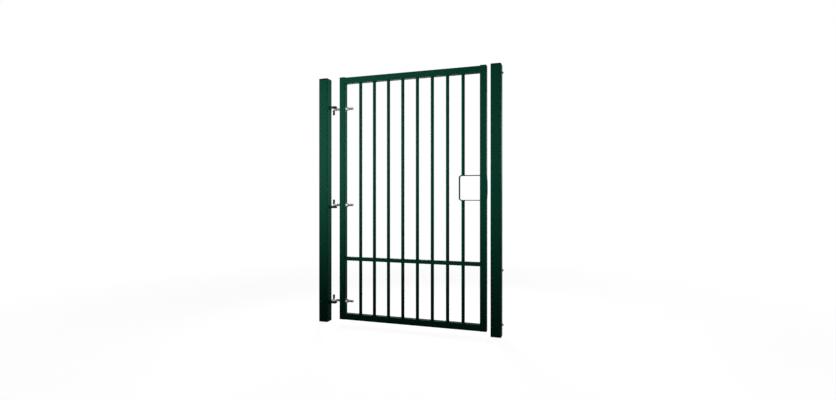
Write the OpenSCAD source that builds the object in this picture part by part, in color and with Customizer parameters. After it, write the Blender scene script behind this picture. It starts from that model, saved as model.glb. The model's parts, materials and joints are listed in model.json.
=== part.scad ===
// Single swing gate: a welded leaf of box tube and round bars, hung between two posts.
// The origin is the centre of the hinge post's foot, at ground level.
// X runs along the gate towards the lock post, Y towards its back and Z up.

/* [Opening] */
// Clear width between the two posts
opening_w = 1387; // [1100:1:1600]
// Gap between the hinge post and the leaf
hinge_gap = 107; // [95:1:125]
// Gap between the leaf and the lock post
lock_gap = 34; // [24:1:60]
// Gap between the ground and the leaf
ground_gap = 30; // [20:1:80]

/* [Posts] */
// Width of each square post
post_w = 80; // [70:1:100]
// Wall of each post
post_wall = 3; // [2:0.5:5]
// Outer corner radius of each post
post_corner_r = 6; // [5.5:0.5:12]
// Thickness of the plate that closes each post's foot
foot_plate_t = 6; // [3:0.5:12]
// Height of a post cap above its tube
post_cap_h = 12; // [6:0.5:20]

/* [Leaf] */
// Height of the leaf without its stile caps
leaf_h = 2035; // [1700:1:2400]
// Width of the square tube of the stiles and of the top and bottom rails
frame_w = 50; // [45:1:60]
// Wall of the frame tubes
frame_wall = 2; // [1.5:0.5:4]
// Outer corner radius of the frame tubes
frame_corner_r = 4; // [3:0.5:8]
// Height of a stile cap above its tube
stile_cap_h = 5; // [3:0.5:10]
// Height of the mid rail
mid_rail_h = 30; // [24:1:45]
// Depth of the mid rail, front to back
mid_rail_d = 40; // [36:1:50]
// Height of the mid rail's centre above the leaf's underside
mid_rail_up = 512; // [350:1:750]

/* [Bars] */
// Diameter of each round bar
bar_d = 26.9; // [20:0.1:30]
// Wall of each round bar
bar_wall = 2; // [1.5:0.5:3]
// Distance from each stile to the centre of the bar beside it
end_space = 135.5; // [110:0.5:150]

/* [Hinges] */
// Diameter of each hinge pin
pin_d = 18; // [14:0.5:22]
// Distance from the hinge post to the pin's centre
pin_off = 42.5; // [38:0.5:50]
// Length of a pin beyond its arm
pin_len = 56; // [40:1:70]
// Thickness of the arm's head
arm_t = 18; // [14:0.5:24]
// Width of the arm's head, front to back
arm_w = 38; // [30:1:44]
// Reach of the arm's head past the pin's centre
arm_nose = 24.5; // [17:0.5:26]
// Diameter of the arm's threaded shank
shank_d = 16; // [12:0.5:17]
// Outer diameter of the threaded boss on the hinge post
boss_d = 30; // [25:0.5:36]
// Length of the threaded boss
boss_len = 16; // [8:0.5:17]
// Outer diameter of each eye
eye_d = 34; // [30:0.5:38]
// Height of each eye
eye_h = 20; // [16:0.5:28]
// Diameter of each eye bolt's rod
rod_d = 20; // [16:0.5:22]
// Length of each rod beyond the hinge stile
rod_out = 69; // [45:1:90]
// Width across the flats of each nut
nut_af = 30; // [27:0.5:34]
// Thickness of each nut
nut_t = 16; // [8:0.5:20]
// Outer diameter of each washer
washer_d = 37; // [30:0.5:44]
// Thickness of each washer
washer_t = 3; // [2:0.5:4]
// Height of the lowest eye above the leaf's underside
low_hinge_up = 154; // [130:1:260]
// Distance from the leaf's top down to the highest eye
top_hinge_down = 261; // [140:1:360]

/* [Lock] */
// Height of the lock's centre above the leaf's underside
lock_up = 1100; // [900:1:1250]
// Height of the hand recess, outside
recess_h = 198; // [170:1:260]
// Reach of the hand recess past the centre of the last bar
recess_reach = 32; // [25:0.5:45]
// Depth of the recess strip, front to back
recess_d = 30; // [28:1:50]
// Thickness of the recess strip
recess_t = 6; // [3:0.5:8]
// Outer corner radius of the recess
recess_r = 20; // [12:1:30]
// Height of the lock's face plate
face_plate_h = 172; // [130:1:240]
// Width of the lock's face plate
face_plate_w = 26; // [20:1:36]
// Thickness of the lock's face plate
face_plate_t = 3; // [2:0.5:5]
// Height of the raised guide on the face plate
guide_h = 112; // [70:1:125]
// Width of the raised guide
guide_w = 22; // [14:0.5:26]
// Thickness of the raised guide
guide_t = 2; // [1:0.5:6]

/* [Fence bolts] */
// Thread diameter of the bolts that hold the fence
fence_bolt_d = 10; // [8:0.5:12]
// Width across the flats of their heads
fence_head_af = 17; // [13:0.5:20]
// Distance that a head stands out of its post
fence_head_out = 14.5; // [10:0.5:20]

/* [Hidden] */
$fn = 64;

// clearances
running_fit = 0.08;   // radial, hinge pin in its eye
thread_fit = 0.25;    // radial, round a thread that doesn't turn in use
hole_fit = 0.3;       // radial, a bar in the mid rail or a plug in a tube
seat_fit = 0.3;       // an eye above the arm that carries it

bar_count = 8;
plug_h = 20;          // depth of a cap's plug in its tube
plug_wall = 2;
cap_bevel = 2;
end_bevel = 2;        // chamfer on the ends of pins and rods
bolt_bevel = 1;       // and on the ends of the fence bolts
arm_heel = 20;        // reach of the arm's head behind the pin's centre
arm_corner_r = 9;
shank_in = 12;        // length of a shank or bolt inside its post
flange_t = 2;         // flange under a fence bolt's head
flange_over = 4;      // flange's width beyond the head's flats
head_t = 8;
fixing_under_top = 13;   // from the top rail down to the highest fence bolt
fixing_under_mid = 23;   // from the mid rail down to the middle one
fixing_over_bottom = 10; // from the bottom rail up to the lowest

// places along X
post_face_x = post_w / 2;
pin_x = post_face_x + pin_off;
lock_post_x = post_w + opening_w;
leaf_x0 = post_face_x + hinge_gap;
leaf_x1 = post_face_x + opening_w - lock_gap;
inner_x0 = leaf_x0 + frame_w;
inner_x1 = leaf_x1 - frame_w;
inner_w = inner_x1 - inner_x0;
bar_pitch = (inner_w - 2 * end_space) / (bar_count - 1);
recess_x0 = bar_x(bar_count) - recess_reach;
shank_hole_r = shank_d / 2 + thread_fit;

// places along Z
leaf_top = ground_gap + leaf_h;
post_h = leaf_top + stile_cap_h - post_cap_h;
bottom_rail_top = ground_gap + frame_w;
top_rail_under = leaf_top - frame_w;
mid_rail_z = ground_gap + mid_rail_up;
lock_z = ground_gap + lock_up;
low_eye_z = ground_gap + low_hinge_up;
top_eye_z = leaf_top - top_hinge_down;
mid_eye_z = (low_eye_z + top_eye_z) / 2;
arm_drop = max(eye_h, rod_d) / 2 + seat_fit + arm_t / 2;   // from an eye's centre to its arm's
fence_bolt_z = [
    bottom_rail_top + fixing_over_bottom,
    mid_rail_z - mid_rail_h / 2 - fixing_under_mid,
    top_rail_under - fixing_under_top
];

function bar_x(i) = inner_x0 + end_space + (i - 1) * bar_pitch;

// hinges by name: height of the eye, and 1 where the pin points up or -1 where it points down
HINGES = [["low", low_eye_z, 1], ["mid", mid_eye_z, 1], ["top", top_eye_z, -1]];

// ---- shapes that repeat ----

module rounded_rect(w, d, r) {
    square([w - 2 * r, d], center = true);
    square([w, d - 2 * r], center = true);
    for (x = [-1, 1], y = [-1, 1])
        translate([x * (w / 2 - r), y * (d / 2 - r)]) circle(r);
}

module box_section(w, d, wall, r) {
    difference() {
        rounded_rect(w, d, r);
        rounded_rect(w - 2 * wall, d - 2 * wall, max(r - wall, 0.5));
    }
}

// lays an extrusion along X, with the section's first axis along Y and its second along Z
module along_x(x0, z) {
    translate([x0, 0, z]) rotate([90, 0, 90]) children();
}

module rod_x(x0, x1, z, r) {
    translate([x0, 0, z]) rotate([0, 90, 0]) cylinder(h = x1 - x0, r = r);
}

// a push-in cap for the open end of a square tube
module tube_cap(w, wall, r, h) {
    inner = w - 2 * wall - 2 * hole_fit;
    bevel = min(cap_bevel, h / 2);
    top = w - 2 * bevel;
    skin = 0.01;
    linear_extrude(h - bevel) rounded_rect(w, w, r);
    translate([0, 0, h - bevel]) hull() {
        linear_extrude(skin) rounded_rect(w, w, r);
        translate([0, 0, bevel - skin]) linear_extrude(skin) rounded_rect(top, top, r - bevel / 2);
    }
    translate([0, 0, -plug_h]) linear_extrude(plug_h)
        box_section(inner, inner, plug_wall, max(r - wall, 1));
}

module bar(i, z0, z1) {
    color("darkgreen") translate([bar_x(i), 0, z0]) difference() {
        cylinder(h = z1 - z0, d = bar_d);
        translate([0, 0, -1]) cylinder(h = z1 - z0 + 2, d = bar_d - 2 * bar_wall);
    }
}

// ---- posts and what is fixed to them ----

module post(x) {
    color("darkgreen") translate([x, 0, 0]) {
        linear_extrude(post_h) box_section(post_w, post_w, post_wall, post_corner_r);
        linear_extrude(foot_plate_t) rounded_rect(post_w, post_w, post_corner_r);
    }
}

// holes through the outer wall of a post for the fence bolts; side is -1 or 1
module fence_bolt_holes(x, side) {
    for (z = fence_bolt_z)
        translate([x + side * (post_face_x - post_wall / 2), 0, z]) rotate([0, 90, 0])
            cylinder(h = 3 * post_wall, r = fence_bolt_d / 2 + thread_fit, center = true);
}

module hinge_post() {
    color("darkgreen") difference() {
        post(0);
        fence_bolt_holes(0, -1);
        for (h = HINGES)
            rod_x(post_face_x - 2 * post_wall, post_face_x + post_wall, arm_z(h[1], h[2]), shank_hole_r);
    }
}

module lock_post() {
    color("darkgreen") difference() {
        post(lock_post_x);
        fence_bolt_holes(lock_post_x, 1);
    }
}

module post_cap(x) {
    color("black") translate([x, 0, post_h]) tube_cap(post_w, post_wall, post_corner_r, post_cap_h);
}

function arm_z(eye_z, up) = eye_z - up * arm_drop;

// a threaded boss welded to the post's inner face
module hinge_boss(h) {
    z = arm_z(h[1], h[2]);
    color("darkgreen") difference() {
        rod_x(post_face_x, post_face_x + boss_len, z, boss_d / 2);
        rod_x(post_face_x - 1, post_face_x + boss_len + 1, z, shank_hole_r);
    }
}

// a shank, a forged head and the pin that stands on it
module hinge_pin(h) {
    z = arm_z(h[1], h[2]);
    color("black") {
        rod_x(post_face_x - post_wall - shank_in, pin_x, z, shank_d / 2);
        translate([pin_x + (arm_nose - arm_heel) / 2, 0, z - arm_t / 2]) linear_extrude(arm_t)
            rounded_rect(arm_heel + arm_nose, arm_w, arm_corner_r);
        translate([pin_x, 0, z]) mirror([0, 0, h[2] < 0 ? 1 : 0]) {
            cylinder(h = arm_t / 2 + pin_len - end_bevel, d = pin_d);
            translate([0, 0, arm_t / 2 + pin_len - end_bevel])
                cylinder(h = end_bevel, d1 = pin_d, d2 = pin_d - 2 * end_bevel);
        }
    }
}

module fence_bolts(x, side) {
    color("silver") for (z = fence_bolt_z)
        translate([x + side * post_face_x, 0, z]) rotate([0, 90 * side, 0]) fence_bolt();
}

// lies along Z, with the post's face at 0
module fence_bolt() {
    inside = post_wall + shank_in;
    straight = fence_head_out - bolt_bevel;
    translate([0, 0, -inside]) cylinder(h = inside + straight, d = fence_bolt_d);
    translate([0, 0, straight])
        cylinder(h = bolt_bevel, d1 = fence_bolt_d, d2 = fence_bolt_d - 2 * bolt_bevel);
    cylinder(h = flange_t, d = fence_head_af + flange_over);
    cylinder(h = flange_t + head_t, d = fence_head_af / cos(30), $fn = 6);
}

// ---- leaf ----

module stile(x0) {
    translate([x0 + frame_w / 2, 0, ground_gap]) linear_extrude(leaf_h)
        box_section(frame_w, frame_w, frame_wall, frame_corner_r);
}

module hinge_stile() {
    color("darkgreen") difference() {
        stile(leaf_x0);
        for (h = HINGES) rod_x(leaf_x0 - 1, inner_x0 + 1, h[1], rod_d / 2 + thread_fit);
    }
}

module lock_stile() {
    color("darkgreen") stile(inner_x1);
}

module stile_cap(x0) {
    color("black") translate([x0 + frame_w / 2, 0, leaf_top])
        tube_cap(frame_w, frame_wall, frame_corner_r, stile_cap_h);
}

module rail(z_centre, d, h) {
    along_x(inner_x0, z_centre) linear_extrude(inner_w) box_section(d, h, frame_wall, frame_corner_r);
}

module top_rail() {
    color("darkgreen") rail(leaf_top - frame_w / 2, frame_w, frame_w);
}

module bottom_rail() {
    color("darkgreen") rail(ground_gap + frame_w / 2, frame_w, frame_w);
}

module mid_rail() {
    color("darkgreen") difference() {
        rail(mid_rail_z, mid_rail_d, mid_rail_h);
        for (i = [1:bar_count])
            translate([bar_x(i), 0, mid_rail_z - mid_rail_h])
                cylinder(h = 2 * mid_rail_h, r = bar_d / 2 + hole_fit);
    }
}

// a strip bent round three sides of the hand recess, welded to the lock stile by its two ends
module lock_recess() {
    w = inner_x1 - recess_x0;
    color("darkgreen") translate([recess_x0, recess_d / 2, lock_z - recess_h / 2]) rotate([90, 0, 0])
        linear_extrude(recess_d) difference() {
            recess_outline(w, recess_h, recess_r);
            translate([recess_t, recess_t])
                recess_outline(w, recess_h - 2 * recess_t, recess_r - recess_t);
        }
}

module recess_outline(w, h, r) {
    translate([r, 0]) square([w - r, h]);
    translate([0, r]) square([2 * r, h - 2 * r]);
    for (z = [r, h - r]) translate([r, z]) circle(r);
}

// a plate with round ends against the lock stile's outer face
module lock_face_plate() {
    color("darkgreen") along_x(leaf_x1, lock_z) linear_extrude(face_plate_t)
        round_end_strip(face_plate_w, face_plate_h);
}

module lock_bolt_guide() {
    color("darkgreen") along_x(leaf_x1 + face_plate_t, lock_z) linear_extrude(guide_t)
        round_end_strip(guide_w, guide_h);
}

module round_end_strip(w, h) {
    square([w, h - w], center = true);
    for (z = [-1, 1]) translate([0, z * (h - w) / 2]) circle(d = w);
}

// the rod runs through the hinge stile and carries the eye at its near end
module eye_bolt(h) {
    rod_end = inner_x0 + rod_out;
    color("silver") difference() {
        union() {
            translate([pin_x, 0, h[1] - eye_h / 2]) cylinder(h = eye_h, d = eye_d);
            rod_x(pin_x, rod_end - end_bevel, h[1], rod_d / 2);
            translate([rod_end - end_bevel, 0, h[1]]) rotate([0, 90, 0])
                cylinder(h = end_bevel, d1 = rod_d, d2 = rod_d - 2 * end_bevel);
        }
        translate([pin_x, 0, h[1] - eye_h]) cylinder(h = 2 * eye_h, r = pin_d / 2 + running_fit);
    }
}

module hinge_washer(h) {
    color("silver") difference() {
        rod_x(inner_x0, inner_x0 + washer_t, h[1], washer_d / 2);
        rod_x(inner_x0 - 1, inner_x0 + washer_t + 1, h[1], rod_d / 2 + thread_fit);
    }
}

module hinge_nut(h) {
    nut_x = inner_x0 + washer_t;
    color("silver") difference() {
        translate([nut_x, 0, h[1]]) rotate([0, 90, 0]) cylinder(h = nut_t, d = nut_af / cos(30), $fn = 6);
        rod_x(nut_x - 1, nut_x + nut_t + 1, h[1], rod_d / 2 + thread_fit);
    }
}

hinge_post();
post_cap(0);  // hinge_post_cap
lock_post();
post_cap(lock_post_x);  // lock_post_cap
for (h = HINGES) hinge_boss(h);
for (h = HINGES) hinge_pin(h);
fence_bolts(0, -1);  // fence_bolts_hinge_side
fence_bolts(lock_post_x, 1);  // fence_bolts_lock_side
hinge_stile();
stile_cap(leaf_x0);  // hinge_stile_cap
lock_stile();
stile_cap(inner_x1);  // lock_stile_cap
top_rail();
mid_rail();
bottom_rail();
for (i = [1:bar_count - 1])
    bar(i, bottom_rail_top, top_rail_under);
bar(bar_count, lock_z + recess_h / 2, top_rail_under);  // bar_8_upper
bar(bar_count, bottom_rail_top, lock_z - recess_h / 2);  // bar_8_lower
lock_recess();
lock_face_plate();
lock_bolt_guide();
for (h = HINGES) eye_bolt(h);
for (h = HINGES) hinge_washer(h);
for (h = HINGES) hinge_nut(h);
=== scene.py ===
import json
import math

import bmesh
import bpy
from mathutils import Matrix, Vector


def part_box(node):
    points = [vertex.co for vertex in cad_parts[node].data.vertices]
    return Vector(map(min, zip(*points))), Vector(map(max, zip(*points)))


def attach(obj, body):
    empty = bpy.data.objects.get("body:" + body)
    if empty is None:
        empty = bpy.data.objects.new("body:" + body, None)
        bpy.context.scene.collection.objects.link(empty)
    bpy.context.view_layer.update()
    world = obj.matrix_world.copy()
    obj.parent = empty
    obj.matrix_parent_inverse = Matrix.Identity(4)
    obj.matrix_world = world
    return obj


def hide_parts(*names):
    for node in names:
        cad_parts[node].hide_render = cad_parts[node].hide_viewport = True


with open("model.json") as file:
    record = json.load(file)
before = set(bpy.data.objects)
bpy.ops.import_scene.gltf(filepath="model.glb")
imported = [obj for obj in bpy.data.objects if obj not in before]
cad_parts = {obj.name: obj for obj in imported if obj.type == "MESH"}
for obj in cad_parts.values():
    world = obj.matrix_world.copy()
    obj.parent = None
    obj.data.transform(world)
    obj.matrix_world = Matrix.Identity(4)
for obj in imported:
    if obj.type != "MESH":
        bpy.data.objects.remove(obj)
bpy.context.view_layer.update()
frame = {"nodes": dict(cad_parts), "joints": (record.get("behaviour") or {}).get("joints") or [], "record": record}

# The looks of a single swing gate with its two posts.
# Metres. X runs along the gate from the hinge post, Y to its back and Z up.

cadNodes = frame["nodes"]
pinX = frame["joints"][0]["pos_m"][0]     # the upright axis that the leaf swings about
hingeNames = ("low", "mid", "top")


cameraPlan = {
    "place": (2.0376, -3.625, 1.044),
    "turnLeft": 18.32,     # degrees away from straight along Y
    "sensor": 36,
    "lens": 20.476,
    "shiftDown": 0.0012,
}


def makeCamera():
    data = bpy.data.cameras.new("camera")
    data.sensor_width = cameraPlan["sensor"]
    data.lens = cameraPlan["lens"]
    data.shift_y = -cameraPlan["shiftDown"]
    camera = bpy.data.objects.new("camera", data)
    camera.location = cameraPlan["place"]
    camera.rotation_euler = (math.radians(90), 0, math.radians(cameraPlan["turnLeft"]))
    bpy.context.scene.collection.objects.link(camera)
    bpy.context.scene.camera = camera


makeCamera()
print("camera placed")


# helpers that place shader nodes; x and y are where a node sits in the editor

def addNode(tree, kind, x, y, settings=None, values=None):
    node = tree.nodes.new(kind)
    node.location = (x, y)
    for name, value in (settings or {}).items():
        setattr(node, name, value)
    for socket, value in (values or {}).items():
        node.inputs[socket].default_value = value
    return node


socketKinds = {1: "NodeSocketFloat", 3: "NodeSocketVector", 4: "NodeSocketColor"}


def newGroup(name, inputs, outputs):
    # inputs are names and first values, outputs are names and counts of numbers
    tree = bpy.data.node_groups.new(name, "ShaderNodeTree")
    for label, start in inputs.items():
        kind = socketKinds[len(start) if isinstance(start, tuple) else 1]
        socket = tree.interface.new_socket(label, in_out="INPUT", socket_type=kind)
        socket.default_value = start
    for label, count in outputs.items():
        tree.interface.new_socket(label, in_out="OUTPUT", socket_type=socketKinds[count])
    entry = addNode(tree, "NodeGroupInput", -900, 0)
    leave = addNode(tree, "NodeGroupOutput", 900, 0)
    return tree, entry, leave


def placeGroup(tree, group, x, y, values):
    return addNode(tree, "ShaderNodeGroup", x, y, {"node_tree": group}, values)


def mathNode(tree, operation, x, y, first, second, clamp=False):
    node = addNode(tree, "ShaderNodeMath", x, y, {"operation": operation, "use_clamp": clamp})
    for index, value in enumerate((first, second)):
        if isinstance(value, (int, float)):
            node.inputs[index].default_value = value
        else:
            tree.links.new(value, node.inputs[index])
    return node.outputs[0]


def addNoise(tree, x, y, values):
    # a noise that stays fixed to the piece as it moves
    places = addNode(tree, "ShaderNodeTexCoord", x - 200, y)
    noise = addNode(tree, "ShaderNodeTexNoise", x, y, values=values)
    tree.links.new(places.outputs["Object"], noise.inputs["Vector"])
    return noise


def mixColour(tree, x, y, mask, first, second):
    mix = addNode(tree, "ShaderNodeMix", x, y, {"data_type": "RGBA"})
    tree.links.new(mask, mix.inputs["Factor"])
    for socket, colour in ((mix.inputs[6], first), (mix.inputs[7], second)):
        if isinstance(colour, tuple):
            socket.default_value = colour
        else:
            tree.links.new(colour, socket)
    return mix.outputs[2]


def joinBump(tree, shader, height, values):
    bump = addNode(tree, "ShaderNodeBump", 300, -300, values=values)
    tree.links.new(height, bump.inputs["Height"])
    tree.links.new(bump.outputs["Normal"], shader.inputs["Normal"])


def emptyTree(owner):
    owner.use_nodes = True
    owner.node_tree.nodes.clear()
    return owner.node_tree


def newMaterial(name, values):
    material = bpy.data.materials.new(name)
    tree = emptyTree(material)
    shader = addNode(tree, "ShaderNodeBsdfPrincipled", 600, 0, values=values)
    output = addNode(tree, "ShaderNodeOutputMaterial", 900, 0)
    tree.links.new(shader.outputs["BSDF"], output.inputs["Surface"])
    return material, tree, shader


# effects that several finishes share

grainEffect = {
    "cloud": {"Detail": 3.0, "Roughness": 0.6},
    "grain": {"Detail": 2.0, "Roughness": 0.45},
    "middle": 0.5,           # the noise's middle, which leaves tone and roughness as they are
}


def makeSurfaceGrain():
    # a cloudy drift of tone, a fine height and the roughness that goes with it
    tree, entry, leave = newGroup(
        "surfaceGrain",
        {
            "Tone": (0.5, 0.5, 0.5, 1), "Drift": 0.1, "Drift Size": 0.3, "Grain Size": 0.002,
            "Roughness": 0.4, "Roughness Spread": 0.1,
        },
        {"Tone": 4, "Roughness": 1, "Height": 1},
    )
    cloud = addNoise(tree, -500, 200, grainEffect["cloud"])
    grain = addNoise(tree, -500, -100, grainEffect["grain"])
    for noise, size, y in ((cloud, "Drift Size", 400), (grain, "Grain Size", -300)):
        tree.links.new(mathNode(tree, "DIVIDE", -700, y, 1.0, entry.outputs[size]), noise.inputs["Scale"])
    value = mathNode(tree, "SUBTRACT", -300, 200, cloud.outputs["Fac"], grainEffect["middle"])
    value = mathNode(tree, "MULTIPLY", -150, 200, value, entry.outputs["Drift"])
    value = mathNode(tree, "ADD", 0, 200, value, 1.0)
    tone = addNode(tree, "ShaderNodeHueSaturation", 200, 200)
    tree.links.new(entry.outputs["Tone"], tone.inputs["Color"])
    tree.links.new(value, tone.inputs["Value"])
    rough = mathNode(tree, "SUBTRACT", -300, -300, grain.outputs["Fac"], grainEffect["middle"])
    rough = mathNode(tree, "MULTIPLY", -150, -300, rough, entry.outputs["Roughness Spread"])
    rough = mathNode(tree, "ADD", 0, -300, rough, entry.outputs["Roughness"], clamp=True)
    tree.links.new(tone.outputs["Color"], leave.inputs["Tone"])
    tree.links.new(rough, leave.inputs["Roughness"])
    tree.links.new(grain.outputs["Fac"], leave.inputs["Height"])
    return tree


def addBrokenMask(tree, entry, leave, whole, effect):
    # strengthens a whole mask, breaks it up with a fine noise and scales it by the amount
    whole = mathNode(tree, "MULTIPLY", -150, 100, whole, effect["gain"], clamp=True)
    noise = addNoise(tree, -500, -200, effect["noise"])
    gap = mathNode(tree, "MULTIPLY", -300, -200, noise.outputs["Fac"], entry.outputs["Break Up"])
    mask = mathNode(tree, "SUBTRACT", 0, 0, whole, gap, clamp=True)
    mask = mathNode(tree, "MULTIPLY", 200, 0, mask, entry.outputs["Amount"])
    tree.links.new(mask, leave.inputs["Mask"])


edgeEffect = {"gain": 6.0, "samples": 4, "noise": {"Scale": 420.0, "Detail": 4.0}}


def makeEdgeThinning():
    # 1 along the outer edges and corners of a piece
    tree, entry, leave = newGroup(
        "edgeThinning", {"Edge Width": 0.001, "Break Up": 0.5, "Amount": 1.0}, {"Mask": 1})
    surface = addNode(tree, "ShaderNodeNewGeometry", -700, 0)
    soft = addNode(tree, "ShaderNodeBevel", -700, 200, {"samples": edgeEffect["samples"]})
    tree.links.new(entry.outputs["Edge Width"], soft.inputs["Radius"])
    facing = addNode(tree, "ShaderNodeVectorMath", -500, 100, {"operation": "DOT_PRODUCT"})
    tree.links.new(soft.outputs["Normal"], facing.inputs[0])
    tree.links.new(surface.outputs["True Normal"], facing.inputs[1])
    bend = mathNode(tree, "SUBTRACT", -300, 100, 1.0, facing.outputs["Value"])
    addBrokenMask(tree, entry, leave, bend, edgeEffect)
    return tree


creviceEffect = {"gain": 1.8, "samples": 6, "noise": {"Scale": 260.0, "Detail": 3.0}}


def makeCreviceShadeAndGrime():
    # 1 in tight corners, thread roots and weld toes, where ambient shade falls: painted shade there, as well as
    # dirt
    tree, entry, leave = newGroup(
        "creviceShadeAndGrime", {"Reach": 0.003, "Break Up": 0.4, "Amount": 1.0}, {"Mask": 1})
    openness = addNode(tree, "ShaderNodeAmbientOcclusion", -700, 100, {"samples": creviceEffect["samples"]})
    tree.links.new(entry.outputs["Reach"], openness.inputs["Distance"])
    hidden = mathNode(tree, "SUBTRACT", -500, 100, 1.0, openness.outputs["AO"])
    addBrokenMask(tree, entry, leave, hidden, creviceEffect)
    return tree


def makeToolMarks():
    # fine turned lines that cross the chosen direction
    tree, entry, leave = newGroup(
        "toolMarks", {"Direction": (1.0, 0.0, 0.0), "Line Pitch": 0.0006}, {"Lines": 1})
    places = addNode(tree, "ShaderNodeTexCoord", -900, -200)
    along = addNode(tree, "ShaderNodeVectorMath", -700, 0, {"operation": "DOT_PRODUCT"})
    tree.links.new(places.outputs["Object"], along.inputs[0])
    tree.links.new(entry.outputs["Direction"], along.inputs[1])
    count = mathNode(tree, "DIVIDE", -500, 0, along.outputs["Value"], entry.outputs["Line Pitch"])
    noise = addNode(
        tree, "ShaderNodeTexNoise", -300, 0, {"noise_dimensions": "1D"}, {"Scale": 1.0, "Detail": 3.0})
    tree.links.new(count, noise.inputs["W"])
    tree.links.new(noise.outputs["Fac"], leave.inputs["Lines"])
    return tree


surfaceGrain = makeSurfaceGrain()
edgeThinning = makeEdgeThinning()
toolMarks = makeToolMarks()
creviceShadeAndGrime = makeCreviceShadeAndGrime()


# satin powder coat: orange peel, a thinner film along the edges, and painted shade with dirt at the weld toes
greenPaint = {
    "grain": {
        "Tone": (0.0048, 0.0580, 0.0352, 1), "Drift": 0.16, "Drift Size": 0.35,
        "Grain Size": 0.0022,      # spacing of the orange peel
        "Roughness": 0.48, "Roughness Spread": 0.12,
    },
    "edges": {"Edge Width": 0.0012, "Break Up": 0.5, "Amount": 0.3},
    "edgeColour": (0.010, 0.080, 0.050, 1),
    "grimeAndShade": {"Reach": 0.0045, "Break Up": 0.3, "Amount": 0.6},
    "grimeShadeColour": (0.0016, 0.0090, 0.0065, 1),
    "specular": 0.008,
    "bump": {"Strength": 1.0, "Distance": 0.00024},
}

# moulded plastic with a spark-eroded texture
capPlastic = {
    "grain": {
        "Tone": (0.0085, 0.0095, 0.0095, 1), "Drift": 0.2, "Drift Size": 0.05,
        "Grain Size": 0.0006, "Roughness": 0.5, "Roughness Spread": 0.2,
    },
    "edges": {"Edge Width": 0.0008, "Break Up": 0.7, "Amount": 0.6},
    "edgeColour": (0.035, 0.037, 0.037, 1),
    "specular": 0.03,
    "bump": {"Strength": 0.5, "Distance": 0.00004},
}

# black-coated forging: a coarse skin, with steel showing thinly at the edges
forgedBlack = {
    "grain": {
        "Tone": (0.0050, 0.0052, 0.0052, 1), "Drift": 0.5, "Drift Size": 0.02,
        "Grain Size": 0.0016, "Roughness": 0.46, "Roughness Spread": 0.25,
    },
    "edges": {"Edge Width": 0.0007, "Break Up": 0.9, "Amount": 0.6},
    "edgeColour": (0.060, 0.060, 0.060, 1),
    "specular": 0.12,
    "bump": {"Strength": 0.6, "Distance": 0.00012},
}


def makeCoating(name, look):
    material, tree, shader = newMaterial(name, {"Specular IOR Level": look["specular"]})
    skin = placeGroup(tree, surfaceGrain, -300, 0, look["grain"])
    edges = placeGroup(tree, edgeThinning, -300, 300, look["edges"])
    colour = mixColour(tree, 0, 200, edges.outputs["Mask"], skin.outputs["Tone"], look["edgeColour"])
    # painted shade with dirt: darker in corners and at weld toes, where ambient shade falls
    if "grimeAndShade" in look:
        grimeAndShade = placeGroup(tree, creviceShadeAndGrime, -300, 500, look["grimeAndShade"])
        colour = mixColour(tree, 150, 350, grimeAndShade.outputs["Mask"], colour, look["grimeShadeColour"])
    tree.links.new(colour, shader.inputs["Base Color"])
    tree.links.new(skin.outputs["Roughness"], shader.inputs["Roughness"])
    joinBump(tree, shader, skin.outputs["Height"], look["bump"])
    return material


# zinc plate: turned lines, cloudy tarnish, brighter edges, greasy dirt with painted shade in the threads, and
# painted shade on downward faces
zincPlate = {
    "grain": {"Drift": 0.3, "Drift Size": 0.012, "Grain Size": 0.0012, "Roughness Spread": 0.25},
    "marks": {"Direction": (1.0, 0.25, 0.6), "Line Pitch": 0.0005},
    "edges": {"Edge Width": 0.0006, "Break Up": 0.6, "Amount": 0.8},
    "cloud": {"Scale": 95.0, "Detail": 4.0},
    "cloudStart": 0.48,
    "cloudGain": 5.0,
    "greaseAndShade": {"Reach": 0.004, "Break Up": 0.35, "Amount": 1.0},
    "greaseShadeColour": (0.010, 0.0095, 0.009, 1),
    "greaseRoughness": 0.25,     # added where the grease lies
    "underside": {"From Min": 0.2, "From Max": -0.45, "To Max": 0.88},   # painted shade: darker where the surface faces down
    "undersideColour": (0.035, 0.034, 0.032, 1),
    "bump": {"Strength": 0.25, "Distance": 0.00004},
}
brightZinc = {"colour": (0.46, 0.47, 0.475, 1), "tarnish": (0.27, 0.275, 0.27, 1), "roughness": 0.36}
dullZinc = {"colour": (0.27, 0.28, 0.28, 1), "tarnish": (0.15, 0.155, 0.15, 1), "roughness": 0.42}


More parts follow.
